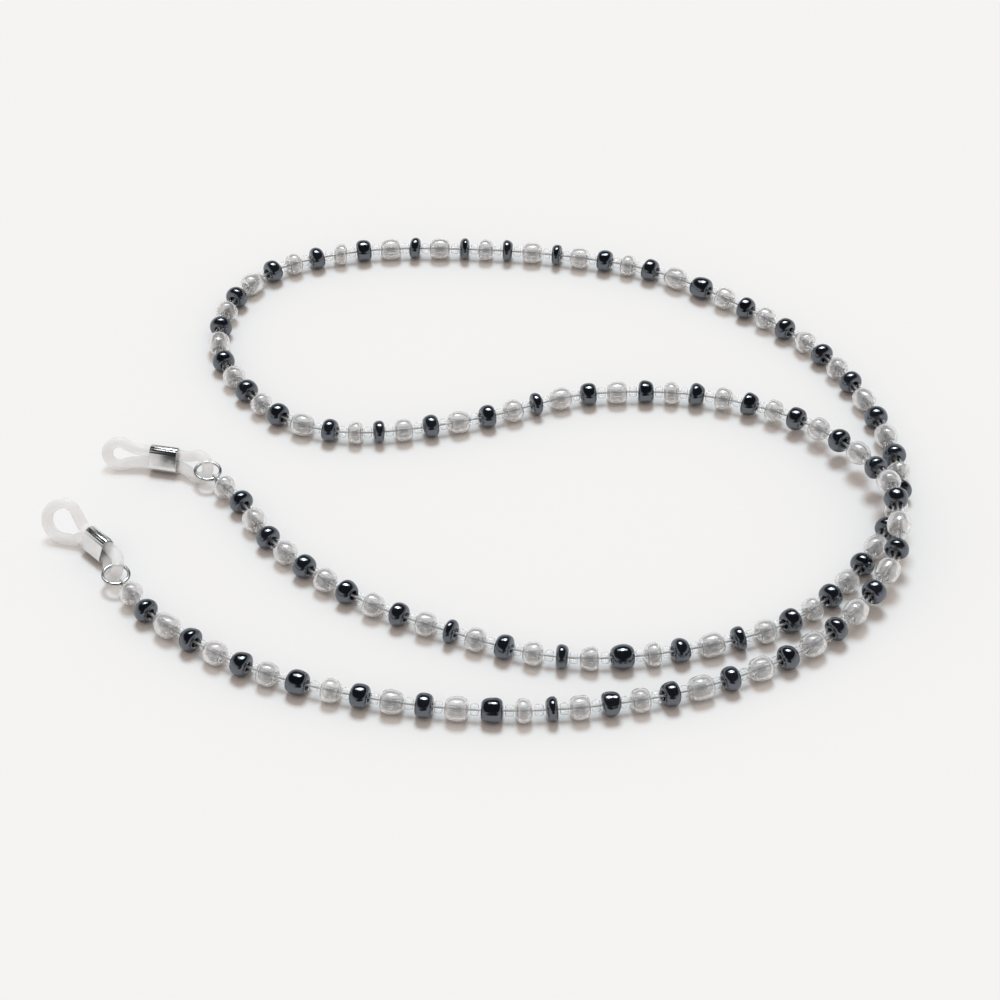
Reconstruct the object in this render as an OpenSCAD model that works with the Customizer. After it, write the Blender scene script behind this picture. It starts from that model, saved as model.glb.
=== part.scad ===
// Beaded eyeglass chain, laid on a table in one open loop that crosses over itself.
// Black, grey and clear glass beads are strung on one wire. Each end of the wire is crimped round
// a jump ring, and each jump ring carries a silicone temple loop with a sliding metal sleeve.
// +Z is up, the table is at Z = 0, and both ends of the chain lie towards -X.

/* [Beads] */
// Outer diameter of the black glass beads
black_d = 4.3; // [3.9:0.1:4.3]
// Outer diameter of the grey glass beads
grey_d = 4.2; // [3.8:0.1:4.2]
// Outer diameter of the clear spacer beads
clear_d = 2.1; // [1.9:0.1:2.3]
// Length of a clear spacer bead along the wire
clear_l = 1.5; // [1.4:0.05:1.5]
// Hole through the black and grey beads
bead_hole_d = 1.3; // [1.2:0.1:1.5]
// Hole through the clear spacer beads
clear_hole_d = 1; // [0.95:0.05:1.05]

/* [Wire and crimps] */
// Diameter of the stringing wire
wire_d = 0.4; // [0.3:0.02:0.4]
// Outer diameter of the crimp tube at each end of the wire
crimp_d = 1.4; // [1.3:0.1:1.6]
// Length of the crimp tube
crimp_l = 0.6; // [0.5:0.05:0.7]

/* [Jump rings] */
// Outer diameter of a jump ring
ring_d = 5; // [4.9:0.1:5.2]
// Thickness of the jump ring's wire
ring_wire_d = 0.6; // [0.5:0.05:0.6]

/* [Temple loops] */
// Thickness of the silicone cord
silicone_d = 2; // [1.8:0.1:2]
// Height of the right end's big loop, which grips the temple arm, standing on its edge
right_loop_h = 6.2; // [6:0.1:6.4]
// Height of the left end's big loop, which is rounder
left_loop_h = 8.4; // [8.2:0.1:8.5]
// How far the temple loops lean back from upright, in degrees
loop_lean = 24; // [20:1:26]
// Height of the small eye that the jump ring passes through
eye_h = 6.1; // [5.9:0.1:6.3]
// Length of the metal sleeve
sleeve_l = 5; // [4.6:0.1:5.2]
// Wall thickness of the metal sleeve
sleeve_wall = 0.25; // [0.2:0.05:0.35]
// How far the sleeve slides towards the big loop
sleeve_travel = 1; // [0.6:0.1:1]

/* [Hidden] */
// The wire's route from the right end to the left end, through the middle of the beads
ROUTE = [
    [-46, -7, 2.5], [-41, -13, 2.15], [-36.5, -21, 2.15], [-22, -35, 2.15], [-5, -44, 2.15],
    [13.5, -50, 2.15], [33, -48.5, 2.15], [52, -41.5, 2.15], [65, -28, 2.15], [73.5, -9, 2.15],
    [71.5, 10.5, 2.15], [63.5, 28.5, 2.15], [50.5, 42.5, 2.15], [33, 54.5, 2.15], [15, 59.5, 2.15],
    [-3, 61.5, 2.15], [-22.5, 61, 2.15], [-39.5, 55, 2.15], [-46.5, 46.5, 2.15], [-49, 37, 2.15],
    [-48, 27.5, 2.15], [-38, 12.5, 2.15], [-29, 7.5, 2.15], [-19.5, 6.5, 2.15], [0, 10.5, 2.16],
    [18.5, 17, 2.2], [38.5, 17, 2.3], [56, 10, 2.8], [68, -4, 4.8], [71.5, -16, 6.8],
    [70, -29, 4.5], [58.5, -44.5, 2.6], [41, -55, 2.2], [22, -60.5, 2.15], [2.5, -62, 2.15],
    [-18.5, -59, 2.15], [-38.5, -51.8, 2.17], [-55, -39.7, 2.27], [-59.5, -33.6, 2.5]
];

// Bead sizes in stringing order, n for narrow, r for regular and w for wide.
// Grey and black beads alternate, and the string starts and ends with a grey one.
GREY_SIZES = "nwrrrrrrrnwrnrwwnwwnrnrwnrwnwwnnwnwrnwnrwrwwnrnrwwwwwwwwrrnwwrrwwn";
BLACK_SIZES = "rrrrrnrnwrnrrrrrrrrrrrwrrnnnnrrrrrrrrrnrrnrrrrrrrrrrrrrrrnwrrwrrr";
grey_lengths = [2.7, 3.3, 3.9];
black_lengths = [2, 2.9, 3.8];
grey_edge_r = 1.3;
black_edge_r = 0.9;
clear_edge_r = 0.45;

// Clear beads in which the wire flexes, with more room on both sides of them
FLEX_BEADS = [15, 29, 43, 217, 231, 245];
flex_gap = 0.35;

// Stretches of the chain: name, first bead, last bead
SEGMENTS = [
    ["right_tip", 0, 15], ["right_mid", 16, 29], ["right_base", 30, 43],
    ["right_bend", 44, 85], ["back_row", 86, 125], ["left_bend", 126, 150],
    ["middle_row", 151, 185], ["crossing", 186, 216],
    ["left_base", 217, 230], ["left_mid", 231, 244], ["left_tip", 245, 260]
];

// Stretches of the wire between the flex points: name, first bead, last bead
WIRES = [
    ["right_tip", 0, 15], ["right_mid", 15, 29], ["right_base", 29, 43], ["neck", 43, 217],
    ["left_base", 217, 231], ["left_mid", 231, 245], ["left_tip", 245, 260]
];

// Each end: name, end of the route, heading of the eye, bend at the eye, bend at the big loop,
// height of the big loop, length over which it narrows to the neck
ENDS = [["right", 0, 150, 18, 10, right_loop_h, 4.6], ["left", 1, 107, 27, 32, left_loop_h, 4]];

BEAD_KINDS = ["black_beads", "grey_beads", "clear_beads"];
END_PIECES = ["crimp", "wire_eye", "jump_ring", "silicone_loop", "sleeve"];

// The route as a smooth curve (a centripetal Catmull-Rom spline), in short straight steps
route_steps = 16;
route_last = len(ROUTE) - 1;

function route_point(i) =
    i < 0 ? 2 * ROUTE[0] - ROUTE[1]
    : i > route_last ? 2 * ROUTE[route_last] - ROUTE[route_last - 1]
    : ROUTE[i];

function slope(before, at, after, t_before, t_after) =
    (at - before) / t_before - (after - before) / (t_before + t_after) + (after - at) / t_after;

function span_point(i, u) =
    let (
        a = route_point(i - 1),
        b = route_point(i),
        c = route_point(i + 1),
        d = route_point(i + 2),
        t_ab = sqrt(norm(b - a)),
        t_bc = sqrt(norm(c - b)),
        t_cd = sqrt(norm(d - c)),
        slope_b = t_bc * slope(a, b, c, t_ab, t_bc),
        slope_c = t_bc * slope(b, c, d, t_bc, t_cd),
        u2 = u * u,
        u3 = u2 * u
    )
    (2 * u3 - 3 * u2 + 1) * b + (u3 - 2 * u2 + u) * slope_b
    + (3 * u2 - 2 * u3) * c + (u3 - u2) * slope_c;

path = concat(
    [for (i = [0 : route_last - 1]) for (k = [0 : route_steps - 1]) span_point(i, k / route_steps)],
    [ROUTE[route_last]]
);
path_steps = [for (i = [1 : len(path) - 1]) norm(path[i] - path[i - 1])];

function running_total(values) =
    [for (i = 0, total = 0; i <= len(values); total = total + (i < len(values) ? values[i] : 0), i = i + 1)
        total];

distances = running_total(path_steps);
strand_l = distances[len(distances) - 1];
x_table = [for (i = [0 : len(path) - 1]) [distances[i], path[i].x]];
y_table = [for (i = [0 : len(path) - 1]) [distances[i], path[i].y]];
z_table = [for (i = [0 : len(path) - 1]) [distances[i], path[i].z]];

// A place on the wire and the wire's direction there, by the distance from the right end
function point_at(s) = [lookup(s, x_table), lookup(s, y_table), lookup(s, z_table)];
function direction_at(s) =
    let (step = point_at(s + 0.5) - point_at(s - 0.5)) step / norm(step);

// Stringing order: even places hold grey and black beads by turns, odd places hold clear ones
bead_count = 2 * (len(GREY_SIZES) + len(BLACK_SIZES)) - 1;

function kind_of(i) = i % 2 == 1 ? "clear_beads" : i % 4 == 0 ? "grey_beads" : "black_beads";
function size_of(letter) = search(letter, "nrw")[0];
function bead_length(i) =
    i % 2 == 1 ? clear_l
    : i % 4 == 0 ? grey_lengths[size_of(GREY_SIZES[i / 4])]
    : black_lengths[size_of(BLACK_SIZES[(i - 2) / 4])];
function by_flex(i) = len([for (flex = FLEX_BEADS) if (i == flex || i + 1 == flex) 1]) > 0;

// The slack left by the beads is shared out equally between them
bead_lengths = [for (i = [0 : bead_count - 1]) bead_length(i)];
beads_l = running_total(bead_lengths)[bead_count];
flex_gaps = 2 * len(FLEX_BEADS);
bead_gap = (strand_l - 2 * crimp_l - beads_l - flex_gaps * flex_gap) / (bead_count + 1 - flex_gaps);
bead_steps = [for (i = [0 : bead_count - 1]) bead_lengths[i] + (by_flex(i) ? flex_gap : bead_gap)];
bead_starts = running_total(bead_steps);
bead_places = [
    for (i = [0 : bead_count - 1]) crimp_l + bead_gap + bead_starts[i] + bead_lengths[i] / 2
];

// The temple loop's cord, seen from the side
wire_r = wire_d / 2;
silicone_r = silicone_d / 2;
function standing_z(h) = silicone_r + (h / 2 - silicone_r) * cos(loop_lean);
eye_z = standing_z(eye_h);
eye_r = eye_h / 2 - silicone_r;
neck_z = silicone_r + 0.05;
sleeve_z = 2.6;
eye_taper_l = 4.1;
neck_bend_r = 3;
sleeve_clearance = 0.08;
sleeve_margin = 0.1;

// A round end of radius r narrows to the neck over taper_l, along an arc of this radius that
// turns by this angle
function taper_r(r, taper_l) = (taper_l * taper_l + neck_z * neck_z - r * r) / (2 * (r - neck_z));
function taper_turn(r, taper_l) = atan2(neck_z + taper_r(r, taper_l), taper_l);

function arc_points(centre, r, from, to, steps) =
    [for (k = [0 : steps]) let (a = from + (to - from) * k / steps) centre + r * [cos(a), sin(a)]];

// The wire's eye and the jump ring through it
wire_eye_r = 0.7;
wire_eye_x = 0.8;
ring_x = wire_eye_x + 0.1;
ring_r = (ring_d - ring_wire_d) / 2;
ring_wire_r = ring_wire_d / 2;

function along(heading, tilt) =
    [cos(heading) * cos(tilt), sin(heading) * cos(tilt), sin(tilt)];

// Where each end of the wire is, which way it points, and where its ring hangs. The ring's far
// side lies in the middle of the small eye.
end_points = [point_at(0), point_at(strand_l)];
end_directions = [-direction_at(0), direction_at(strand_l)];
ring_hinges = [for (k = [0, 1]) end_points[k] + ring_x * end_directions[k]];
ring_headings = [for (k = [0, 1]) atan2(end_directions[k].y, end_directions[k].x)];
ring_tilts = [for (k = [0, 1]) asin((eye_z - ring_hinges[k].z) / (2 * ring_r))];
ring_centres = [for (k = [0, 1]) ring_hinges[k] + ring_r * along(ring_headings[k], ring_tilts[k])];

// A temple loop seen from above: it leaves the ring on the eye's heading, bends as the eye narrows
// to the neck, runs straight under the sleeve and bends again as the big loop widens
function bend_l(angle) = angle * PI / 180 * neck_bend_r;
straight_l = sleeve_l + sleeve_travel + 2 * sleeve_margin;
neck_from = eye_r + eye_taper_l;
neck_to = neck_from + straight_l;

function loop_heading(end, x) =
    end[2]
    + end[3] * max(0, min(1, 1 + (x - neck_from) / bend_l(end[3])))
    + end[4] * max(0, min(1, (x - neck_to) / bend_l(end[4])));

// Steps along the temple loop, each on the heading at its middle
plan_steps = 60;
function loop_plan(end, x, k = 0) =
    k == plan_steps ? [0, 0]
    : let (heading = loop_heading(end, x * (k + 0.5) / plan_steps))
        x / plan_steps * [cos(heading), sin(heading)] + loop_plan(end, x, k + 1);

// Height of the loop's middle: the small eye and the big loop stand on the table and the neck
// between them hangs just clear of it
function blend(u) = let (v = max(0, min(1, u))) v * v * (3 - 2 * v);
function middle_z(end, x) =
    eye_z + (sleeve_z - eye_z) * blend((x - eye_r) / eye_taper_l)
    + (standing_z(end[5]) - sleeve_z) * blend(1.1 * (x - neck_to) / end[6]);

// Directions across the loop where it heads this way: along its leaning height, and square to it
function lean_up(heading) =
    [sin(loop_lean) * sin(heading), -sin(loop_lean) * cos(heading), cos(loop_lean)];
function lean_across(heading) =
    [-cos(loop_lean) * sin(heading), cos(loop_lean) * cos(heading), sin(loop_lean)];

function loop_place(end, x, z) =
    let (
        plan = loop_plan(end, x),
        centre = ring_centres[end[1]],
        height = z + (middle_z(end, x) - eye_z) / cos(loop_lean)
    )
    [centre.x + plan.x, centre.y + plan.y, eye_z] + height * lean_up(loop_heading(end, x));

// The upper half of the loop's centre line as [distance from the small eye's tip, height]
eye_turn = taper_turn(eye_r, eye_taper_l);
eye_taper_r = taper_r(eye_r, eye_taper_l);
function upper_outline(end) =
    let (
        loop_r = end[5] / 2 - silicone_r,
        loop_turn = taper_turn(loop_r, end[6]),
        loop_taper_r = taper_r(loop_r, end[6])
    )
    concat(
        arc_points([eye_r, 0], eye_r, 180, eye_turn, 9),
        arc_points([neck_from, neck_z + eye_taper_r], eye_taper_r, 188 + eye_turn, 270, 5),
        arc_points([neck_to, neck_z + loop_taper_r], loop_taper_r, 270, 352 - loop_turn, 6),
        arc_points([neck_to + end[6], 0], loop_r, 180 - loop_turn, 0, 12)
    );

// Puts the children on a place of the wire, with their Z axis along it
module on_wire(s) {
    d = direction_at(s);
    translate(point_at(s))
        rotate([0, acos(d.z), atan2(d.y, d.x)])
            children();
}

// A rounded glass bead with its hole along Z
module bead(d, length, hole_d, edge_r) {
    flat = d / 2 - edge_r;
    rotate_extrude($fn = 48)
        difference() {
            union() {
                translate([0, -length / 2])
                    square([flat, length]);
                translate([0, edge_r - length / 2])
                    square([d / 2, length - 2 * edge_r]);
                for (side = [-1, 1])
                    translate([flat, side * (length / 2 - edge_r)])
                        circle(edge_r, $fn = 48);
            }
            translate([-d, -length])
                square([d + hole_d / 2, 2 * length]);
        }
}

module black_beads(segment) {
    color([0.07, 0.08, 0.1])
        for (i = [segment[1] : segment[2]])
            if (kind_of(i) == "black_beads")
                on_wire(bead_places[i])
                    bead(black_d, bead_lengths[i], bead_hole_d, black_edge_r);
}

module grey_beads(segment) {
    color([0.76, 0.77, 0.78])
        for (i = [segment[1] : segment[2]])
            if (kind_of(i) == "grey_beads")
                on_wire(bead_places[i])
                    bead(grey_d, bead_lengths[i], bead_hole_d, grey_edge_r);
}

module clear_beads(segment) {
    color([0.9, 0.92, 0.93])
        for (i = [segment[1] : segment[2]])
            if (kind_of(i) == "clear_beads")
                on_wire(bead_places[i])
                    bead(clear_d, clear_l, clear_hole_d, clear_edge_r);
}

// How far the wire turns over the pair of large beads beside a clear one, in degrees
function turn_at(s) = acos(min(1, direction_at(s - 5) * direction_at(s + 5)));

// Stations of a stretch of wire: its ends and the clear beads, fewer where it runs straight
straight_turn = 12.2;
function wire_start(stretch) = stretch[1] == 0 ? crimp_l / 2 : bead_places[stretch[1]];
function wire_end(stretch) =
    stretch[2] == bead_count - 1 ? strand_l - crimp_l / 2 : bead_places[stretch[2]];
function wire_stations(stretch) = concat(
    [wire_start(stretch)],
    [for (i = [stretch[1] + 1 : stretch[2] - 1])
        if (i % 4 == 1 || (i % 4 == 3 && turn_at(bead_places[i]) > straight_turn)) bead_places[i]],
    [wire_end(stretch)]
);

// A round tube through stations of [point, direction, sideways direction], closed into a ring or
// capped at both ends
module tube(stations, radius, sides, closed) {
    rings = len(stations);
    points = [
        for (station = stations)
            let (up = cross(station[1], station[2]))
            for (k = [0 : sides - 1])
                station[0] + radius * (cos(360 * k / sides) * station[2] + sin(360 * k / sides) * up)
    ];
    walls = [
        for (ring = [0 : rings - (closed ? 1 : 2)])
            for (k = [0 : sides - 1])
                let (
                    a = ring * sides + k,
                    b = ring * sides + (k + 1) % sides,
                    c = (ring + 1) % rings * sides + k,
                    d = (ring + 1) % rings * sides + (k + 1) % sides
                )
                for (face = [[a, c, b], [b, c, d]])
                    face
    ];
    first_cap = [for (k = [0 : sides - 1]) k];
    last_cap = [for (k = [sides - 1 : -1 : 0]) (rings - 1) * sides + k];
    polyhedron(points, closed ? walls : concat(walls, [first_cap, last_cap]));
}

// One stretch of the stringing wire
module wire(stretch) {
    stations = [
        for (s = wire_stations(stretch))
            let (
                d = direction_at(s),
                sideways = cross([0, 0, 1], d)
            )
            [point_at(s), d, sideways / norm(sideways)]
    ];
    color([0.8, 0.8, 0.8])
        tube(stations, wire_r, 8, false);
}

// Puts the children on an end of the wire, with +X pointing out along it
module at_end(k) {
    d = end_directions[k];
    translate(end_points[k])
        rotate([0, -asin(d.z), atan2(d.y, d.x)])
            children();
}

// The crimp tube that closes the wire's eye
module crimp(k) {
    color([0.55, 0.55, 0.56])
        at_end(k)
            rotate([0, -90, 0])
                difference() {
                    cylinder(h = crimp_l, d = crimp_d, $fn = 48);
                    translate([0, 0, -1])
                        cylinder(h = crimp_l + 2, r = 2.2 * wire_r, $fn = 48);
                }
}

// The wire turned back through the crimp, round the jump ring
module wire_eye(k) {
    leg_z = 1.05 * wire_r;
    color([0.8, 0.8, 0.8])
        at_end(k)
            union() {
                translate([wire_eye_x, 0, 0])
                    rotate([90, 0, 0])
                        rotate_extrude($fn = 72)
                            translate([wire_eye_r, 0])
                                circle(wire_r, $fn = 48);
                for (side = [-1, 1])
                    translate([-crimp_l / 2, 0, side * leg_z])
                        rotate([0, 90, 0])
                            cylinder(h = crimp_l / 2 + wire_eye_x - 0.6, r = wire_r, $fn = 48);
            }
}

// The jump ring, leaning up from the wire's eye round the tip of the small eye
module jump_ring(k) {
    color([0.78, 0.78, 0.79])
        translate(ring_centres[k])
            rotate([0, -ring_tilts[k], ring_headings[k]])
                rotate_extrude($fn = 96)
                    translate([ring_r, 0])
                        circle(ring_wire_r, $fn = 48);
}

// The silicone cord of a temple loop: small eye, neck and big loop in one closed ring
module silicone_loop(end) {
    upper = upper_outline(end);
    last = len(upper) - 1;
    outline = concat(upper, [for (i = [last - 1 : -1 : 1]) upper[i]]);
    points = [
        for (i = [0 : len(outline) - 1])
            loop_place(end, outline[i][0], i <= last ? outline[i][1] : -outline[i][1])
    ];
    count = len(points);
    stations = [
        for (i = [0 : count - 1])
            let (
                step = points[(i + 1) % count] - points[(i + count - 1) % count],
                heading = loop_heading(end, outline[i][0])
            )
            [points[i], step / norm(step), lean_across(heading)]
    ];
    color([0.92, 0.92, 0.92])
        tube(stations, silicone_r, 16, true);
}

// Puts the children where the straight part of a temple loop's neck starts, with +X along it
module at_neck(end) {
    translate(loop_place(end, neck_from, 0))
        rotate([loop_lean, 0, loop_heading(end, neck_from)])
            children();
}

// An outline with straight sides and round ends, as wide as the neck's two cords
module neck_outline(margin) {
    r = silicone_r + margin;
    translate([-neck_z, -r])
        square([2 * neck_z, 2 * r]);
    for (side = [-1, 1])
        translate([side * neck_z, 0])
            circle(r, $fn = 48);
}

// The flat oval metal sleeve that slides along the neck
module sleeve(end) {
    color([0.82, 0.82, 0.83])
        at_neck(end)
            translate([sleeve_margin, 0, 0])
                rotate([0, 90, 0])
                    linear_extrude(sleeve_l)
                        difference() {
                            neck_outline(sleeve_clearance + sleeve_wall);
                            neck_outline(sleeve_clearance);
                        }
}

for (segment = SEGMENTS) {
    black_beads(segment);
    grey_beads(segment);
    clear_beads(segment);
}
for (stretch = WIRES) {
    wire(stretch);
}
for (end = ENDS) {
    crimp(end[1]);
    wire_eye(end[1]);
    jump_ring(end[1]);
    silicone_loop(end);
    sleeve(end);
}
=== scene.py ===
"""Looks for a beaded eyeglass strap: glass beads on a wire, a silicone temple loop at each end.

Lengths are written in millimetres, times MM, and worked with in metres.
"""

import math
import random

import bpy
import numpy as np
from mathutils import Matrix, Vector


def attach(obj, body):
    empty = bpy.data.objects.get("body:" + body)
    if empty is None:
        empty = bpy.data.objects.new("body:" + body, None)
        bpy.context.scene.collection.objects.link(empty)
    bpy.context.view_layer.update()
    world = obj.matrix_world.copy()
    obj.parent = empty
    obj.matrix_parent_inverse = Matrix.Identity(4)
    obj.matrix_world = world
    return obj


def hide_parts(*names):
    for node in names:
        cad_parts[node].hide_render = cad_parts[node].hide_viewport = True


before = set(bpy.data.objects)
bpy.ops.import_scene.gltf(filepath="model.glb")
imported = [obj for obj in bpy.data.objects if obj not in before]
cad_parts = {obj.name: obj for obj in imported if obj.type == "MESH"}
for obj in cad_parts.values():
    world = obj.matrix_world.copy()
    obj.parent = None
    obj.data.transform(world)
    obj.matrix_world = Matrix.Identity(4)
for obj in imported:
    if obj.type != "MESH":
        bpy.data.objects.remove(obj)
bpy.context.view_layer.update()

MM = 0.001

# ------------------------------------------------------------------ camera

LOOK_AT = Vector((3.5, -11.5, 2.0)) * MM
CAMERA_DISTANCE = 456.3 * MM
CAMERA_ELEVATION = math.radians(42)
CAMERA_LENS = 94.16

camera_data = bpy.data.cameras.new("camera")
camera_data.lens = CAMERA_LENS
camera_data.sensor_width = 36
camera_data.clip_start = 0.01
camera_data.clip_end = 20
camera = bpy.data.objects.new("camera", camera_data)
camera.location = LOOK_AT + CAMERA_DISTANCE * Vector(
    (0, -math.cos(CAMERA_ELEVATION), math.sin(CAMERA_ELEVATION))
)
camera.rotation_euler = (math.radians(90) - CAMERA_ELEVATION, 0, 0)
bpy.context.scene.collection.objects.link(camera)
bpy.context.scene.camera = camera

# ------------------------------------------------------------------ the wire's route, as in the CAD

ROUTE = np.array([
    (-46, -7, 2.5), (-41, -13, 2.15), (-36.5, -21, 2.15), (-22, -35, 2.15), (-5, -44, 2.15),
    (13.5, -50, 2.15), (33, -48.5, 2.15), (52, -41.5, 2.15), (65, -28, 2.15), (73.5, -9, 2.15),
    (71.5, 10.5, 2.15), (63.5, 28.5, 2.15), (50.5, 42.5, 2.15), (33, 54.5, 2.15), (15, 59.5, 2.15),
    (-3, 61.5, 2.15), (-22.5, 61, 2.15), (-39.5, 55, 2.15), (-46.5, 46.5, 2.15), (-49, 37, 2.15),
    (-48, 27.5, 2.15), (-38, 12.5, 2.15), (-29, 7.5, 2.15), (-19.5, 6.5, 2.15), (0, 10.5, 2.16),
    (18.5, 17, 2.2), (38.5, 17, 2.3), (56, 10, 2.8), (68, -4, 4.8), (71.5, -16, 6.8),
    (70, -29, 4.5), (58.5, -44.5, 2.6), (41, -55, 2.2), (22, -60.5, 2.15), (2.5, -62, 2.15),
    (-18.5, -59, 2.15), (-38.5, -51.8, 2.17), (-55, -39.7, 2.27), (-59.5, -33.6, 2.5),
]) * MM
GREY_SIZES = "nwrrrrrrrnwrnrwwnwwnrnrwnrwnwwnnwnwrnwnrwrwwnrnrwwwwwwwwrrnwwrrwwn"
BLACK_SIZES = "rrrrrnrnwrnrrrrrrrrrrrwrrnnnnrrrrrrrrrnrrnrrrrrrrrrrrrrrrnwrrwrrr"
GREY_LENGTHS = {"n": 2.7 * MM, "r": 3.3 * MM, "w": 3.9 * MM}
BLACK_LENGTHS = {"n": 2.0 * MM, "r": 2.9 * MM, "w": 3.8 * MM}
CLEAR_LENGTH = 1.5 * MM
GREY_D, BLACK_D, CLEAR_D = 4.2 * MM, 4.3 * MM, 2.1 * MM
BEAD_HOLE_D, CLEAR_HOLE_D, WIRE_D = 1.3 * MM, 1.0 * MM, 0.4 * MM
CRIMP_D, CRIMP_L = 1.4 * MM, 0.6 * MM
FLEX_BEADS = (15, 29, 43, 217, 231, 245)
FLEX_GAP = 0.35 * MM
SEGMENTS = {
    "right_tip": (0, 15), "right_mid": (16, 29), "right_base": (30, 43),
    "right_bend": (44, 85), "back_row": (86, 125), "left_bend": (126, 150),
    "middle_row": (151, 185), "crossing": (186, 216),
    "left_base": (217, 230), "left_mid": (231, 244), "left_tip": (245, 260),
}
WIRES = {
    "right_tip": (0, 15), "right_mid": (15, 29), "right_base": (29, 43), "neck": (43, 217),
    "left_base": (217, 231), "left_mid": (231, 245), "left_tip": (245, 260),
}
SPAN_STEPS = 16


def smooth_route(points):
    """Centripetal Catmull-Rom spline through the points, in short straight steps."""
    padded = np.vstack([2 * points[0] - points[1], points, 2 * points[-1] - points[-2]])
    found = []
    for a, b, c, d in zip(padded, padded[1:], padded[2:], padded[3:]):
        # the CAD works in millimetres, and centripetal steps depend on the unit only by a factor
        ab, bc, cd = (math.sqrt(np.linalg.norm(q - p)) for p, q in ((a, b), (b, c), (c, d)))
        slope_b = bc * ((b - a) / ab - (c - a) / (ab + bc) + (c - b) / bc)
        slope_c = bc * ((c - b) / bc - (d - b) / (bc + cd) + (d - c) / cd)
        for k in range(SPAN_STEPS):
            u = k / SPAN_STEPS
            found.append(
                (2 * u**3 - 3 * u**2 + 1) * b + (u**3 - 2 * u**2 + u) * slope_b
                + (3 * u**2 - 2 * u**3) * c + (u**3 - u**2) * slope_c
            )
    return np.array([*found, points[-1]])


path = smooth_route(ROUTE)
travel = np.concatenate([[0], np.cumsum(np.linalg.norm(np.diff(path, axis=0), axis=1))])
strand_l = travel[-1]


def unit(v):
    return v / np.linalg.norm(v)


def point_at(s):
    return np.array([np.interp(s, travel, path[:, k]) for k in range(3)])


def direction_at(s):
    return unit(point_at(s + 0.5 * MM) - point_at(s - 0.5 * MM))


def lay_out_beads():
    """Kind, length and place along the wire of each bead, in stringing order."""
    beads = []
    for grey, black in zip(GREY_SIZES, BLACK_SIZES + " "):
        beads += [("grey", GREY_LENGTHS[grey]), ("clear", CLEAR_LENGTH)]
        if black != " ":
            beads += [("black", BLACK_LENGTHS[black]), ("clear", CLEAR_LENGTH)]
    beads.pop()
    flexing = [i in FLEX_BEADS or i + 1 in FLEX_BEADS for i in range(len(beads))]
    slack = strand_l - 2 * CRIMP_L - sum(length for _, length in beads) - sum(flexing) * FLEX_GAP
    gap = slack / (len(beads) + 1 - sum(flexing))
    s = CRIMP_L + gap
    found = []
    for (kind, length), flex in zip(beads, flexing):
        found.append({"kind": kind, "length": length, "s": s + length / 2})
        s += length + (FLEX_GAP if flex else gap)
    return found


beads = lay_out_beads()

# ------------------------------------------------------------------ meshes from grids of points


def grid_faces(rows, columns, rows_closed, first):
    """Quads between rings of points. Columns always close; rows close into a ring or get caps."""
    faces = []
    for row in range(rows if rows_closed else rows - 1):
        after = (row + 1) % rows
        for column in range(columns):
            beside = (column + 1) % columns
            faces.append([
                first + row * columns + column, first + row * columns + beside,
                first + after * columns + beside, first + after * columns + column,
            ])
    if not rows_closed:
        faces.append([first + column for column in reversed(range(columns))])
        faces.append([first + (rows - 1) * columns + column for column in range(columns)])
    return faces


def make_piece(name, grids, body, material, replaced, marks=None):
    """One mesh piece from grids, each (array of rows x columns x 3, rows_closed)."""
    vertices, faces = [], []
    for grid, rows_closed in grids:
        rows, columns = grid.shape[:2]
        faces += grid_faces(rows, columns, rows_closed, sum(map(len, vertices)))
        vertices.append(grid.reshape(-1, 3))
    mesh = bpy.data.meshes.new(name)
    mesh.from_pydata(np.concatenate(vertices), [], faces)
    mesh.shade_smooth()
    for mark, values in (marks or {}).items():
        attribute = mesh.attributes.new(mark, "FLOAT", "POINT")
        attribute.data.foreach_set("value", np.concatenate(values).astype(np.float32))
    mesh.materials.append(material)
    piece = bpy.data.objects.new(name, mesh)
    bpy.context.scene.collection.objects.link(piece)
    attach(piece, body)
    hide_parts(*replaced)
    return piece


# ------------------------------------------------------------------ materials


def new_material(name):
    material = bpy.data.materials.new(name)
    material.use_nodes = True
    tree = material.node_tree
    return material, tree, tree.nodes["Principled BSDF"]


def node(tree, kind, **values):
    made = tree.nodes.new(kind)
    for key, value in values.items():
        if hasattr(made, key):
            setattr(made, key, value)
        else:
            made.inputs[key].default_value = value
    return made


def ramp(tree, source, stops):
    made = tree.nodes.new("ShaderNodeValToRGB")
    elements = made.color_ramp.elements
    while len(elements) < len(stops):
        elements.new(0.5)
    for element, (place, colour) in zip(elements, stops):
        element.position = place
        element.color = (*colour, 1) if len(colour) == 3 else colour
    tree.links.new(source, made.inputs["Fac"])
    return made.outputs["Color"]


def mix(tree, a, b, factor=1.0, **values):
    """A colour mix of two colours or sources, by a number or a source."""
    made = node(tree, "ShaderNodeMix", data_type="RGBA", **values)
    for name, value in (("A", a), ("B", b), ("Factor", factor)):
        if isinstance(value, bpy.types.NodeSocket):
            tree.links.new(value, made.inputs[name])
        else:
            made.inputs[name].default_value = value
    return made.outputs["Result"]


def noise(tree, scale, detail=3.0, roughness=0.55):
    place = tree.nodes.new("ShaderNodeTexCoord")
    made = node(tree, "ShaderNodeTexNoise", Scale=scale, Detail=detail, Roughness=roughness)
    tree.links.new(place.outputs["Object"], made.inputs["Vector"])
    return made.outputs["Fac"]


def spread(tree, source, low, high):
    made = node(tree, "ShaderNodeMapRange")
    made.inputs["From Min"].default_value = 0.3
    made.inputs["From Max"].default_value = 0.7
    made.inputs["To Min"].default_value = low
    made.inputs["To Max"].default_value = high
    tree.links.new(source, made.inputs["Value"])
    return made.outputs["Result"]


def bump(tree, shader, source, distance, strength=1.0):
    made = node(tree, "ShaderNodeBump", Strength=strength, Distance=distance)
    tree.links.new(source, made.inputs["Height"])
    tree.links.new(made.outputs["Normal"], shader.inputs["Normal"])


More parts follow.
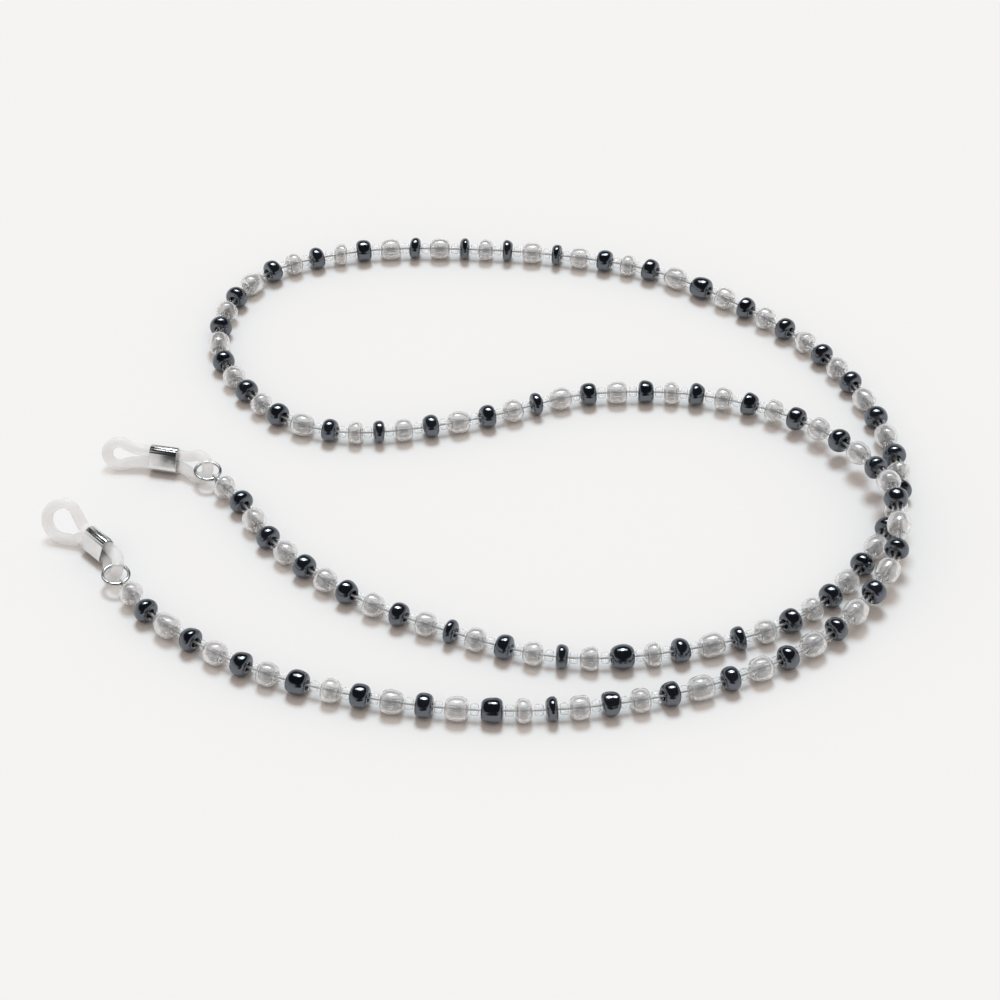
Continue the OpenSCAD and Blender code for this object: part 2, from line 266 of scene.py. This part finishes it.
def attribute(tree, name):
    made = tree.nodes.new("ShaderNodeAttribute")
    made.attribute_name = name
    return made.outputs["Fac"]


def black_glass():
    """Opaque black glass with a gunmetal lustre."""
    material, tree, shader = new_material("black_glass")
    colour = ramp(tree, attribute(tree, "tone"), [
        (0.0, (0.003, 0.0035, 0.005)), (1.0, (0.012, 0.013, 0.018))])
    tree.links.new(colour, shader.inputs["Base Color"])
    shader.inputs["IOR"].default_value = 2.35
    shader.inputs["Specular Tint"].default_value = (0.82, 0.90, 1.0, 1)
    tree.links.new(spread(tree, noise(tree, 900), 0.06, 0.16), shader.inputs["Roughness"])
    bump(tree, shader, noise(tree, 600, 3.0), 0.00007, 0.7)
    return material


def lamp_through(tree, shader, tint):
    """Lets lamps shine through a clear piece, as real clear glass does."""
    clear = node(tree, "ShaderNodeBsdfTransparent", Color=(*tint, 1))
    rays = tree.nodes.new("ShaderNodeLightPath")
    mixed = tree.nodes.new("ShaderNodeMixShader")
    tree.links.new(rays.outputs["Is Shadow Ray"], mixed.inputs["Fac"])
    tree.links.new(shader.outputs["BSDF"], mixed.inputs[1])
    tree.links.new(clear.outputs["BSDF"], mixed.inputs[2])
    tree.links.new(mixed.outputs["Shader"], tree.nodes["Material Output"].inputs["Surface"])


def grey_glass():
    """Milky grey glass with a pearl lustre, streaks in it, and painted shade, dark blue-grey,
    inside its hole that shows through.
    """
    material, tree, shader = new_material("grey_glass")
    body = ramp(tree, attribute(tree, "tone"), [
        (0.0, (0.76, 0.765, 0.77)), (1.0, (0.92, 0.92, 0.915))])
    streaks = ramp(tree, noise(tree, 900, 4.0, 0.65), [
        (0.32, (0.74, 0.75, 0.76)), (0.5, (0.97, 0.97, 0.97)), (0.7, (1.0, 1.0, 1.0))])
    # painted shade: where the bore attribute marks the inside of the hole, the colour is darkened
    # to blue-grey
    bore_painted_shade = ramp(tree, attribute(tree, "bore"), [(0.3, (1, 1, 1)), (0.9, (0.18, 0.23, 0.33))])
    streaked = mix(tree, body, streaks, blend_type="MULTIPLY")
    tree.links.new(mix(tree, streaked, bore_painted_shade, blend_type="MULTIPLY"),
                   shader.inputs["Base Color"])
    shader.inputs["IOR"].default_value = 1.4
    shader.inputs["Transmission Weight"].default_value = 0.62
    shader.inputs["Alpha"].default_value = 0.72
    tree.links.new(spread(tree, noise(tree, 1200), 0.10, 0.22), shader.inputs["Roughness"])
    shader.inputs["Coat Weight"].default_value = 0.7
    shader.inputs["Coat Roughness"].default_value = 0.08
    bump(tree, shader, noise(tree, 700, 3.0), 0.00006, 0.7)
    lamp_through(tree, shader, (0.5, 0.46, 0.43))
    return material


def clear_glass():
    material, tree, shader = new_material("clear_glass")
    colour = ramp(tree, noise(tree, 500), [(0.3, (0.95, 0.96, 0.96)), (0.7, (1, 1, 1))])
    tree.links.new(colour, shader.inputs["Base Color"])
    shader.inputs["IOR"].default_value = 1.18
    shader.inputs["Transmission Weight"].default_value = 1.0
    shader.inputs["Alpha"].default_value = 0.38
    tree.links.new(spread(tree, noise(tree, 1500), 0.01, 0.06), shader.inputs["Roughness"])
    bump(tree, shader, noise(tree, 900, 2.0), 0.00002, 0.4)
    lamp_through(tree, shader, (0.86, 0.86, 0.86))
    return material


def silicone():
    """Milky, slightly tacky silicone."""
    material, tree, shader = new_material("silicone")
    colour = ramp(tree, noise(tree, 350), [
        (0.3, (0.95, 0.955, 0.965)), (0.7, (0.98, 0.985, 0.99))])
    tree.links.new(colour, shader.inputs["Base Color"])
    shader.inputs["IOR"].default_value = 1.35
    shader.inputs["Transmission Weight"].default_value = 0.25
    shader.inputs["Alpha"].default_value = 0.52
    tree.links.new(spread(tree, noise(tree, 1500), 0.30, 0.45), shader.inputs["Roughness"])
    bump(tree, shader, noise(tree, 2500, 4.0), 0.00002, 0.5)
    lamp_through(tree, shader, (0.72, 0.70, 0.68))
    return material


def metal(name, low, high, rough_low, rough_high, grain, metallic=1.0, alpha=1.0):
    material, tree, shader = new_material(name)
    tree.links.new(ramp(tree, noise(tree, grain), [(0.3, low), (0.7, high)]),
                   shader.inputs["Base Color"])
    shader.inputs["Metallic"].default_value = metallic
    shader.inputs["Alpha"].default_value = alpha
    tree.links.new(spread(tree, noise(tree, 2.3 * grain, 5.0), rough_low, rough_high),
                   shader.inputs["Roughness"])
    bump(tree, shader, noise(tree, 4 * grain, 4.0), 0.000008, 0.5)
    return material


MATERIALS = {
    "black": black_glass(),
    "grey": grey_glass(),
    "clear": clear_glass(),
    "silicone": silicone(),
    # steel under a milky plastic coat
    "wire": metal("stringing_wire", (0.76, 0.76, 0.76), (0.88, 0.88, 0.88), 0.35, 0.5, 900,
                  metallic=0.1, alpha=0.68),
    "crimp": metal("crimp_metal", (0.30, 0.30, 0.31), (0.45, 0.45, 0.46), 0.2, 0.35, 900),
    "ring": metal("ring_metal", (0.46, 0.46, 0.465), (0.60, 0.60, 0.605), 0.08, 0.18, 500),
    "sleeve": metal("sleeve_metal", (0.72, 0.715, 0.705), (0.84, 0.835, 0.825), 0.16, 0.24, 400),
}

# ------------------------------------------------------------------ wire


def wire_ends(first, last):
    start = CRIMP_L / 2 if first == 0 else beads[first]["s"]
    end = strand_l - CRIMP_L / 2 if last == len(beads) - 1 else beads[last]["s"]
    return start, end


for name, (first, last) in WIRES.items():
    start, end = wire_ends(first, last)
    count = max(40, round((end - start) / (0.8 * MM)))
    line = [point_at(s) for s in np.linspace(start, end, count)]
    curve = bpy.data.curves.new(f"{name}_strung_wire", "CURVE")
    curve.dimensions = "3D"
    curve.bevel_depth = WIRE_D / 2
    curve.bevel_resolution = 3
    curve.use_fill_caps = True
    spline = curve.splines.new("POLY")
    spline.points.add(count - 1)
    for point, place in zip(spline.points, line):
        point.co = (*place, 1)
    spline.use_smooth = True
    curve.materials.append(MATERIALS["wire"])
    piece = bpy.data.objects.new(f"{name}_strung_wire", curve)
    bpy.context.scene.collection.objects.link(piece)
    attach(piece, name)
    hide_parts(f"{name}_wire")

# ------------------------------------------------------------------ beads

BODY_OF_SEGMENT = {name: name if name in WIRES else "neck" for name in SEGMENTS}
rng = random.Random(7)


def superellipse(count, power):
    """Points round a unit superellipse, as (across, up)."""
    found = []
    for k in range(count):
        a = 2 * math.pi * (k + 0.5) / count
        c, s = math.cos(a), math.sin(a)
        found.append((
            math.copysign(abs(c) ** (2 / power), c), math.copysign(abs(s) ** (2 / power), s)))
    return found


SHOULDER = 0.26
# the faults of hand-sorted glass: deviations, or the most that a bead loses, as shares of its size
FAULT_LEAN, FAULT_TAPER, FAULT_SKEW = 0.07, 0.06, 0.035
FAULT_THINNER, FAULT_SHORTER, FAULT_OVAL, FAULT_LUMP = 0.02, 0.12, 0.012, 0.006
SQUARENESS = (0.9, 1.12)
FLARED_BEAD, FLARE_TURN, FLARE_SKEW = 226, math.radians(60), 0.2
FLARE_AT, FLARE_WIDTH, FLARE_GROWTH = -0.72, 0.35, 0.17
TABLE_GAP, ON_TABLE_Z = 0.02 * MM, 2.3 * MM


def bead_grid(bead, d, hole_d, power, rings, sides, unevenness, flared=False):
    """One lathed bead with small faults: out of round, tapered, end faces not quite square."""
    axis = direction_at(bead["s"])
    side = unit(np.cross((0, 0, 1), axis))
    up = np.cross(axis, side)
    lean, turn = rng.gauss(0, FAULT_LEAN) * unevenness, rng.uniform(0, 2 * math.pi)
    axis = unit(axis + lean * (math.cos(turn) * side + math.sin(turn) * up))
    side = unit(np.cross((0, 0, 1), axis))
    up = np.cross(axis, side)
    outer = d / 2 * (1 - rng.uniform(0, FAULT_THINNER) * unevenness)
    power = power * rng.uniform(*SQUARENESS)
    taper = rng.gauss(0, FAULT_TAPER) * unevenness
    oval, oval_turn = rng.uniform(0, FAULT_OVAL) * unevenness, rng.uniform(0, math.pi)
    skew = [rng.gauss(0, FAULT_SKEW) * unevenness for _ in range(4)]
    if flared:
        skew[1] += FLARE_SKEW
    lumps = [(rng.choice((2, 3, 4)), rng.uniform(0, 2 * math.pi), rng.uniform(0.5, 2.0),
              rng.uniform(0, 2 * math.pi)) for _ in range(3)]
    length = bead["length"] * (1 - rng.uniform(0, FAULT_SHORTER) * unevenness)
    hole = hole_d / 2
    # a bead is longest close to its hole and rounds off widely from there
    longest = hole + SHOULDER * (outer - hole)
    angles = np.arange(sides) * 2 * math.pi / sides
    rows, bore = [], []
    for across, height in superellipse(rings, power):
        x = length / 2 * across
        r = longest + height * (outer - longest if height > 0 else longest - hole)
        outside = max(0.0, min(1.0, (r - hole) / (outer - hole)))
        wave = sum(np.sin(n * angles + a) * math.sin(k * across * 2 + b)
                   for n, a, k, b in lumps) * FAULT_LUMP * outer * unevenness
        round_r = r * (1 + outside * (
            taper * across - oval * (1 + np.cos(2 * (angles - oval_turn))))) + wave * outside
        if flared:
            here = np.exp(-((across - FLARE_AT) / FLARE_WIDTH) ** 2)
            round_r = round_r * (1 + FLARE_GROWTH * outside * here
                                 * np.cos(angles - FLARE_TURN).clip(0) ** 2)
        face_x = x + across * r * (skew[0] * np.cos(angles) + skew[1] * np.sin(angles))
        rows.append(
            face_x[:, None] * axis
            + (round_r * np.cos(angles))[:, None] * side
            + (round_r * np.sin(angles))[:, None] * up
        )
        # marks the inside of the hole, which the grey glass darkens with painted shade
        bore.append(np.full(sides, 1.0 if outside < 0.02 and abs(across) < 0.93 else 0.0))
    grid = np.array(rows)
    # no fault makes the bead wider than its CAD solid, and a bead on the table lies on it
    along_axis = (grid @ axis)[..., None] * axis
    radii = np.linalg.norm(grid - along_axis, axis=2)
    grid = along_axis + (grid - along_axis) * min(1.0, d / 2 / radii.max())
    place = point_at(bead["s"])
    grid = grid + place
    if place[2] < ON_TABLE_Z and bead["kind"] != "clear":
        grid[..., 2] += TABLE_GAP - grid[..., 2].min()
    return grid, np.concatenate(bore)


BEAD_FORMS = {
    "black": dict(d=BLACK_D, hole_d=BEAD_HOLE_D, power=2.2, rings=40, sides=40, unevenness=1.0),
    "grey": dict(d=GREY_D, hole_d=BEAD_HOLE_D, power=2.2, rings=40, sides=40, unevenness=1.0),
    "clear": dict(d=CLEAR_D, hole_d=CLEAR_HOLE_D, power=2.6, rings=24, sides=28, unevenness=0.6),
}

for segment, (first, last) in SEGMENTS.items():
    for kind, form in BEAD_FORMS.items():
        grids, tones, bores = [], [], []
        for place in range(first, last + 1):
            if beads[place]["kind"] == kind:
                grid, bore = bead_grid(beads[place], **form, flared=place == FLARED_BEAD)
                grids.append((grid, True))
                bores.append(bore)
                tones.append(np.full(len(bore), rng.random()))
        make_piece(
            f"{segment}_{kind}_glass_beads", grids, BODY_OF_SEGMENT[segment],
            MATERIALS[kind], [f"{segment}_{kind}_beads"], {"tone": tones, "bore": bores})

# ------------------------------------------------------------------ ends: crimp to sleeve

RING_D, RING_WIRE_D = 5 * MM, 0.6 * MM
RING_STEPS, RING_CUT_AT, RING_CUT = 97, math.radians(118), math.radians(1.6)
WIRE_EYE_R, WIRE_EYE_X, WIRE_EYE_TURN = 0.7 * MM, 0.8 * MM, 140
PAST_CRIMP, HINGE_PLAY = 0.1 * MM, 0.1 * MM
CRIMP_SQUEEZE, CRIMP_SQUEEZE_WIDTH = 0.12, 0.22
SILICONE_R, EYE_H, SLEEVE_Z = 1 * MM, 6.1 * MM, 2.6 * MM
LOOP_LEAN = math.radians(24)
EYE_TAPER_L, NECK_BEND_R = 4.1 * MM, 3 * MM
SLEEVE_L, SLEEVE_TRAVEL, SLEEVE_WALL = 5 * MM, 1 * MM, 0.25 * MM
SLEEVE_CLEARANCE, SLEEVE_MARGIN = 0.08 * MM, 0.1 * MM
SLEEVE_FLUTES, SLEEVE_FLUTE, SLEEVE_RIM, SLEEVE_SIDES = 12, 0.04 * MM, 0.08 * MM, 168
NECK_Z = SILICONE_R + 0.05 * MM
EYE_R = EYE_H / 2 - SILICONE_R
RING_R = (RING_D - RING_WIRE_D) / 2
# heading of the eye, bend at the eye, bend at the big loop, in degrees; height of the big loop
# and the length over which it narrows to the neck
END_FORMS = {"right": (150, 18, 10, 6.2 * MM, 4.6 * MM), "left": (107, 27, 32, 8.4 * MM, 4 * MM)}


def arc(centre, r, start, end, steps):
    return [(centre[0] + r * math.cos(math.radians(a)), centre[1] + r * math.sin(math.radians(a)))
            for a in np.linspace(start, end, steps + 1)]


def taper_r(r, taper_l):
    return (taper_l**2 + NECK_Z**2 - r**2) / (2 * (r - NECK_Z))


def taper_turn(r, taper_l):
    return math.degrees(math.atan2(NECK_Z + taper_r(r, taper_l), taper_l))


NECK_FROM = EYE_R + EYE_TAPER_L
NECK_TO = NECK_FROM + SLEEVE_L + SLEEVE_TRAVEL + 2 * SLEEVE_MARGIN


def loop_outline(form):
    """The upper half of the loop's centre line: distance from the small eye's tip, height."""
    height, taper_l = form[3:]
    r = height / 2 - SILICONE_R
    eye_turn, eye_taper = taper_turn(EYE_R, EYE_TAPER_L), taper_r(EYE_R, EYE_TAPER_L)
    loop_turn, loop_taper = taper_turn(r, taper_l), taper_r(r, taper_l)
    upper = [
        *arc((EYE_R, 0), EYE_R, 180, eye_turn, 22),
        *arc((NECK_FROM, NECK_Z + eye_taper), eye_taper, 184 + eye_turn, 270, 14),
        *[(x, NECK_Z) for x in np.linspace(NECK_FROM, NECK_TO, 14)[1:-1]],
        *arc((NECK_TO, NECK_Z + loop_taper), loop_taper, 270, 356 - loop_turn, 16),
        *arc((NECK_TO + taper_l, 0), r, 180 - loop_turn, 0, 30),
    ]
    return upper + [(x, -z) for x, z in upper[-2:0:-1]]


def bend_l(angle):
    return math.radians(angle) * NECK_BEND_R


def loop_heading(form, x):
    eye, at_eye, at_loop = form[:3]
    return math.radians(
        eye + at_eye * min(1, max(0, 1 + (x - NECK_FROM) / bend_l(at_eye)))
        + at_loop * min(1, max(0, (x - NECK_TO) / bend_l(at_loop))))


def blend(u):
    u = max(0, min(1, u))
    return u * u * (3 - 2 * u)


def standing_z(height):
    return SILICONE_R + (height / 2 - SILICONE_R) * math.cos(LOOP_LEAN)


EYE_Z = standing_z(EYE_H)


def middle_z(form, x):
    """The eye and the big loop stand on the table, and the neck between them hangs clear of it."""
    height, taper_l = form[3:]
    return (EYE_Z + (SLEEVE_Z - EYE_Z) * blend((x - EYE_R) / EYE_TAPER_L)
            + (standing_z(height) - SLEEVE_Z) * blend(1.1 * (x - NECK_TO) / taper_l))


def lean_up(heading):
    """The direction of a temple loop's leaning height, where it heads this way."""
    return np.array((math.sin(LOOP_LEAN) * math.sin(heading),
                     -math.sin(LOOP_LEAN) * math.cos(heading), math.cos(LOOP_LEAN)))


def lean_across(heading):
    return np.array((-math.cos(LOOP_LEAN) * math.sin(heading),
                     math.cos(LOOP_LEAN) * math.cos(heading), math.sin(LOOP_LEAN)))


def loop_place(form, start, x, z):
    steps = 60
    plan = sum(
        (np.array((math.cos(h), math.sin(h)))
         for h in (loop_heading(form, x * (k + 0.5) / steps) for k in range(steps))),
        np.zeros(2)) * x / steps
    height = z + (middle_z(form, x) - EYE_Z) / math.cos(LOOP_LEAN)
    return (np.array((start[0] + plan[0], start[1] + plan[1], EYE_Z))
            + height * lean_up(loop_heading(form, x)))


def circle(r, sides):
    return [(r * math.cos(2 * math.pi * k / sides), r * math.sin(2 * math.pi * k / sides))
            for k in range(sides)]


def sweep(stations, section):
    """Rings of points: section's (u, v) points on each station's (point, across, up)."""
    return np.array([[p + u * across + v * up for u, v in section] for p, across, up in stations])


for side, k in (("right", 0), ("left", 1)):
    end = point_at(0) if k == 0 else point_at(strand_l)
    out = -direction_at(0) if k == 0 else direction_at(strand_l)
    across = unit(np.cross((0, 0, 1), out))
    up = np.cross(out, across)

    # crimp: a tube squeezed in the middle onto the two wire legs
    rows = []
    inner = 2.2 * WIRE_D / 2
    wall = [(0.0, 0.93), (0.04, 1.0), (0.3, 0.97), (0.5, 0.93), (0.7, 0.97), (0.96, 1.0),
            (1.0, 0.93), (1.0, None), (0.5, None), (0.0, None)]
    for x, r in wall:
        ring = []
        for u, v in circle(1, 36):
            if r is None:
                ring.append(end - x * CRIMP_L * out + inner * (u * across + v * up))
            else:
                squeeze = 1 - CRIMP_SQUEEZE * math.exp(-((x - 0.5) / CRIMP_SQUEEZE_WIDTH) ** 2)
                ring.append(end - x * CRIMP_L * out
                            + CRIMP_D / 2 * r * (squeeze * u * across + v * up))
        rows.append(ring)
    make_piece(f"{side}_squeezed_crimp", [(np.array(rows), True)], f"{side}_tip",
               MATERIALS["crimp"], [f"{side}_crimp"])

    # wire eye: the wire leaves the crimp, goes round and comes back into it
    leg = 1.05 * WIRE_D / 2
    line = [(-CRIMP_L / 2, -leg), (-PAST_CRIMP, -leg)]
    line += arc((WIRE_EYE_X, 0), WIRE_EYE_R, -WIRE_EYE_TURN, WIRE_EYE_TURN, 40)
    line += [(-PAST_CRIMP, leg), (-CRIMP_L / 2, leg)]
    line = [end + x * out + z * up for x, z in line]
    stations = []
    for i, p in enumerate(line):
        along = unit(line[min(i + 1, len(line) - 1)] - line[max(i - 1, 0)])
        stations.append((p, across, np.cross(along, across)))
    make_piece(f"{side}_turned_wire_eye", [(sweep(stations, circle(WIRE_D / 2, 16)), False)],
               f"{side}_tip", MATERIALS["wire"], [f"{side}_wire_eye"])

    # jump ring: an open ring, its two cut ends nearly meeting
    hinge = end + (WIRE_EYE_X + HINGE_PLAY) * out
    heading = math.atan2(out[1], out[0])
    tilt = math.asin((EYE_Z - hinge[2]) / (2 * RING_R))
    ring_x = np.array((math.cos(heading) * math.cos(tilt), math.sin(heading) * math.cos(tilt),
                       math.sin(tilt)))
    ring_y = np.array((-math.sin(heading), math.cos(heading), 0))
    ring_up = np.cross(ring_x, ring_y)
    centre = hinge + RING_R * ring_x
    stations = []
    for a in np.linspace(RING_CUT_AT + RING_CUT, RING_CUT_AT + 2 * math.pi - RING_CUT, RING_STEPS):
        radial = math.cos(a) * ring_x + math.sin(a) * ring_y
        stations.append((centre + RING_R * radial, radial, ring_up))
    make_piece(f"{side}_open_jump_ring", [(sweep(stations, circle(RING_WIRE_D / 2, 20)), False)],
               f"{side}_ring", MATERIALS["ring"], [f"{side}_jump_ring"])

    # silicone loop
    form = END_FORMS[side]
    outline = loop_outline(form)
    line = [loop_place(form, centre, x, z) for x, z in outline]
    stations = []
    for i, (p, (x, _)) in enumerate(zip(line, outline)):
        along = unit(line[(i + 1) % len(line)] - line[i - 1])
        sideways = lean_across(loop_heading(form, x))
        stations.append((p, sideways, np.cross(along, sideways)))
    make_piece(f"{side}_soft_temple_loop", [(sweep(stations, circle(SILICONE_R, 32)), True)],
               f"{side}_loop", MATERIALS["silicone"], [f"{side}_silicone_loop"])

    # sleeve: a flat oval tube with rounded rims
    start = loop_place(form, centre, NECK_FROM, 0)
    h = loop_heading(form, NECK_FROM)
    neck_x = np.array((math.cos(h), math.sin(h), 0))
    neck_y, neck_up = lean_across(h), lean_up(h)
    inside = SILICONE_R + SLEEVE_CLEARANCE
    outside = inside + SLEEVE_WALL
    rim, corner = SLEEVE_RIM, 0.3 * SLEEVE_RIM
    wall = [(0, inside + rim), (0, outside - rim), (corner, outside - corner), (rim, outside),
            (SLEEVE_L / 2, outside), (SLEEVE_L - rim, outside),
            (SLEEVE_L - corner, outside - corner), (SLEEVE_L, outside - rim),
            (SLEEVE_L, inside + rim), (SLEEVE_L - rim, inside), (SLEEVE_L / 2, inside),
            (rim, inside)]
    rows = []
    for x, wall_r in wall:
        ring = []
        for a in np.linspace(0, 2 * math.pi, SLEEVE_SIDES, endpoint=False):
            u, v = math.cos(a), math.sin(a)
            # drawing the sleeve through its die leaves faint lengthwise flutes outside
            flute = SLEEVE_FLUTE * (1 - math.cos(SLEEVE_FLUTES * a)) / 2
            r = wall_r - (flute if wall_r > inside + rim else 0)
            ring.append(start + (SLEEVE_MARGIN + x) * neck_x + r * u * neck_y
                        + (r * v + math.copysign(NECK_Z, v)) * neck_up)
        rows.append(ring)
    make_piece(f"{side}_polished_sleeve", [(np.array(rows), True)], f"{side}_slider",
               MATERIALS["sleeve"], [f"{side}_sleeve"])

# ------------------------------------------------------------------ floor and light

FLOOR_HALF = 3.0
floor_mesh = bpy.data.meshes.new("floor")
floor_mesh.from_pydata(
    [(x * FLOOR_HALF, y * FLOOR_HALF, 0) for x, y in ((-1, -1), (1, -1), (1, 1), (-1, 1))],
    [], [(0, 1, 2, 3)])
floor_material, _, floor_shader = new_material("floor")
floor_shader.inputs["Base Color"].default_value = (0.85, 0.85, 0.85, 1)
floor_shader.inputs["Roughness"].default_value = 0.9
floor_shader.inputs["Specular IOR Level"].default_value = 0.0
floor_mesh.materials.append(floor_material)
floor = bpy.data.objects.new("floor", floor_mesh)
bpy.context.scene.collection.objects.link(floor)

# a soft sun from above and behind, cooler than the fill
KEY_FROM = Vector((0.0, 0.42, 0.91))
key_data = bpy.data.lights.new("key", "SUN")
key_data.angle = math.radians(21)
key_data.energy = 1.945
key_data.color = (0.81, 0.929, 1.0)
key = bpy.data.objects.new("key", key_data)
key.location = 2.0 * KEY_FROM
key.rotation_euler = KEY_FROM.to_track_quat("Z", "Y").to_euler()
bpy.context.scene.collection.objects.link(key)

world = bpy.data.worlds.new("studio")
bpy.context.scene.world = world
world.use_nodes = True
tree = world.node_tree
background = tree.nodes["Background"]
rays = tree.nodes.new("ShaderNodeLightPath")
directions = tree.nodes.new("ShaderNodeTexCoord")
parts = tree.nodes.new("ShaderNodeSeparateXYZ")
tree.links.new(directions.outputs["Generated"], parts.inputs["Vector"])
WARM_FILL, BACKDROP = (0.618, 0.54, 0.492, 1), (0.896, 0.896, 0.896, 1)
LAMP_COLOUR = (4.5, 4.6, 4.7, 1)


def world_math(operation, source, value=0.0):
    made = node(tree, "ShaderNodeMath", operation=operation)
    tree.links.new(source, made.inputs[0])
    made.inputs[1].default_value = value
    return made.outputs["Value"]


# what glass and metal reflect: pale walls low down at the sides, dark ahead and above
walls = ramp(tree, parts.outputs["Z"], [
    (0.0, (0.8, 0.8, 0.8)), (0.30, (0.7, 0.7, 0.71)), (0.48, (0.02, 0.02, 0.022)),
    (1.0, (0.012, 0.012, 0.014))])
open_side = ramp(tree, world_math("MULTIPLY", parts.outputs["Y"], -1.0), [
    (0.78, (1, 1, 1)), (0.92, (0.05, 0.05, 0.055))])
studio = mix(tree, walls, open_side, blend_type="MULTIPLY")
# and one wide soft lamp above and behind
lamp_width = ramp(tree, world_math("ABSOLUTE", parts.outputs["X"]), [
    (0.34, (1, 1, 1)), (0.44, (0, 0, 0))])
lamp_depth = ramp(tree, parts.outputs["Y"], [
    (0.27, (0, 0, 0)), (0.32, (1, 1, 1)), (0.52, (1, 1, 1)), (0.57, (0, 0, 0))])
lamp = mix(tree, lamp_width, lamp_depth, blend_type="MULTIPLY")
lamp = mix(tree, lamp, LAMP_COLOUR, blend_type="MULTIPLY")
studio = mix(tree, studio, lamp, blend_type="ADD", clamp_result=False)
fill_or_backdrop = mix(tree, WARM_FILL, BACKDROP, rays.outputs["Is Camera Ray"])
seen = mix(tree, fill_or_backdrop, studio, rays.outputs["Is Glossy Ray"])
tree.links.new(seen, background.inputs["Color"])

scene = bpy.context.scene
scene.view_settings.view_transform = "Standard"
scene.view_settings.look = "None"
scene.cycles.use_denoising = True
scene.cycles.max_bounces = 16
scene.cycles.transmission_bounces = 12
scene.cycles.caustics_refractive = False
scene.cycles.caustics_reflective = False
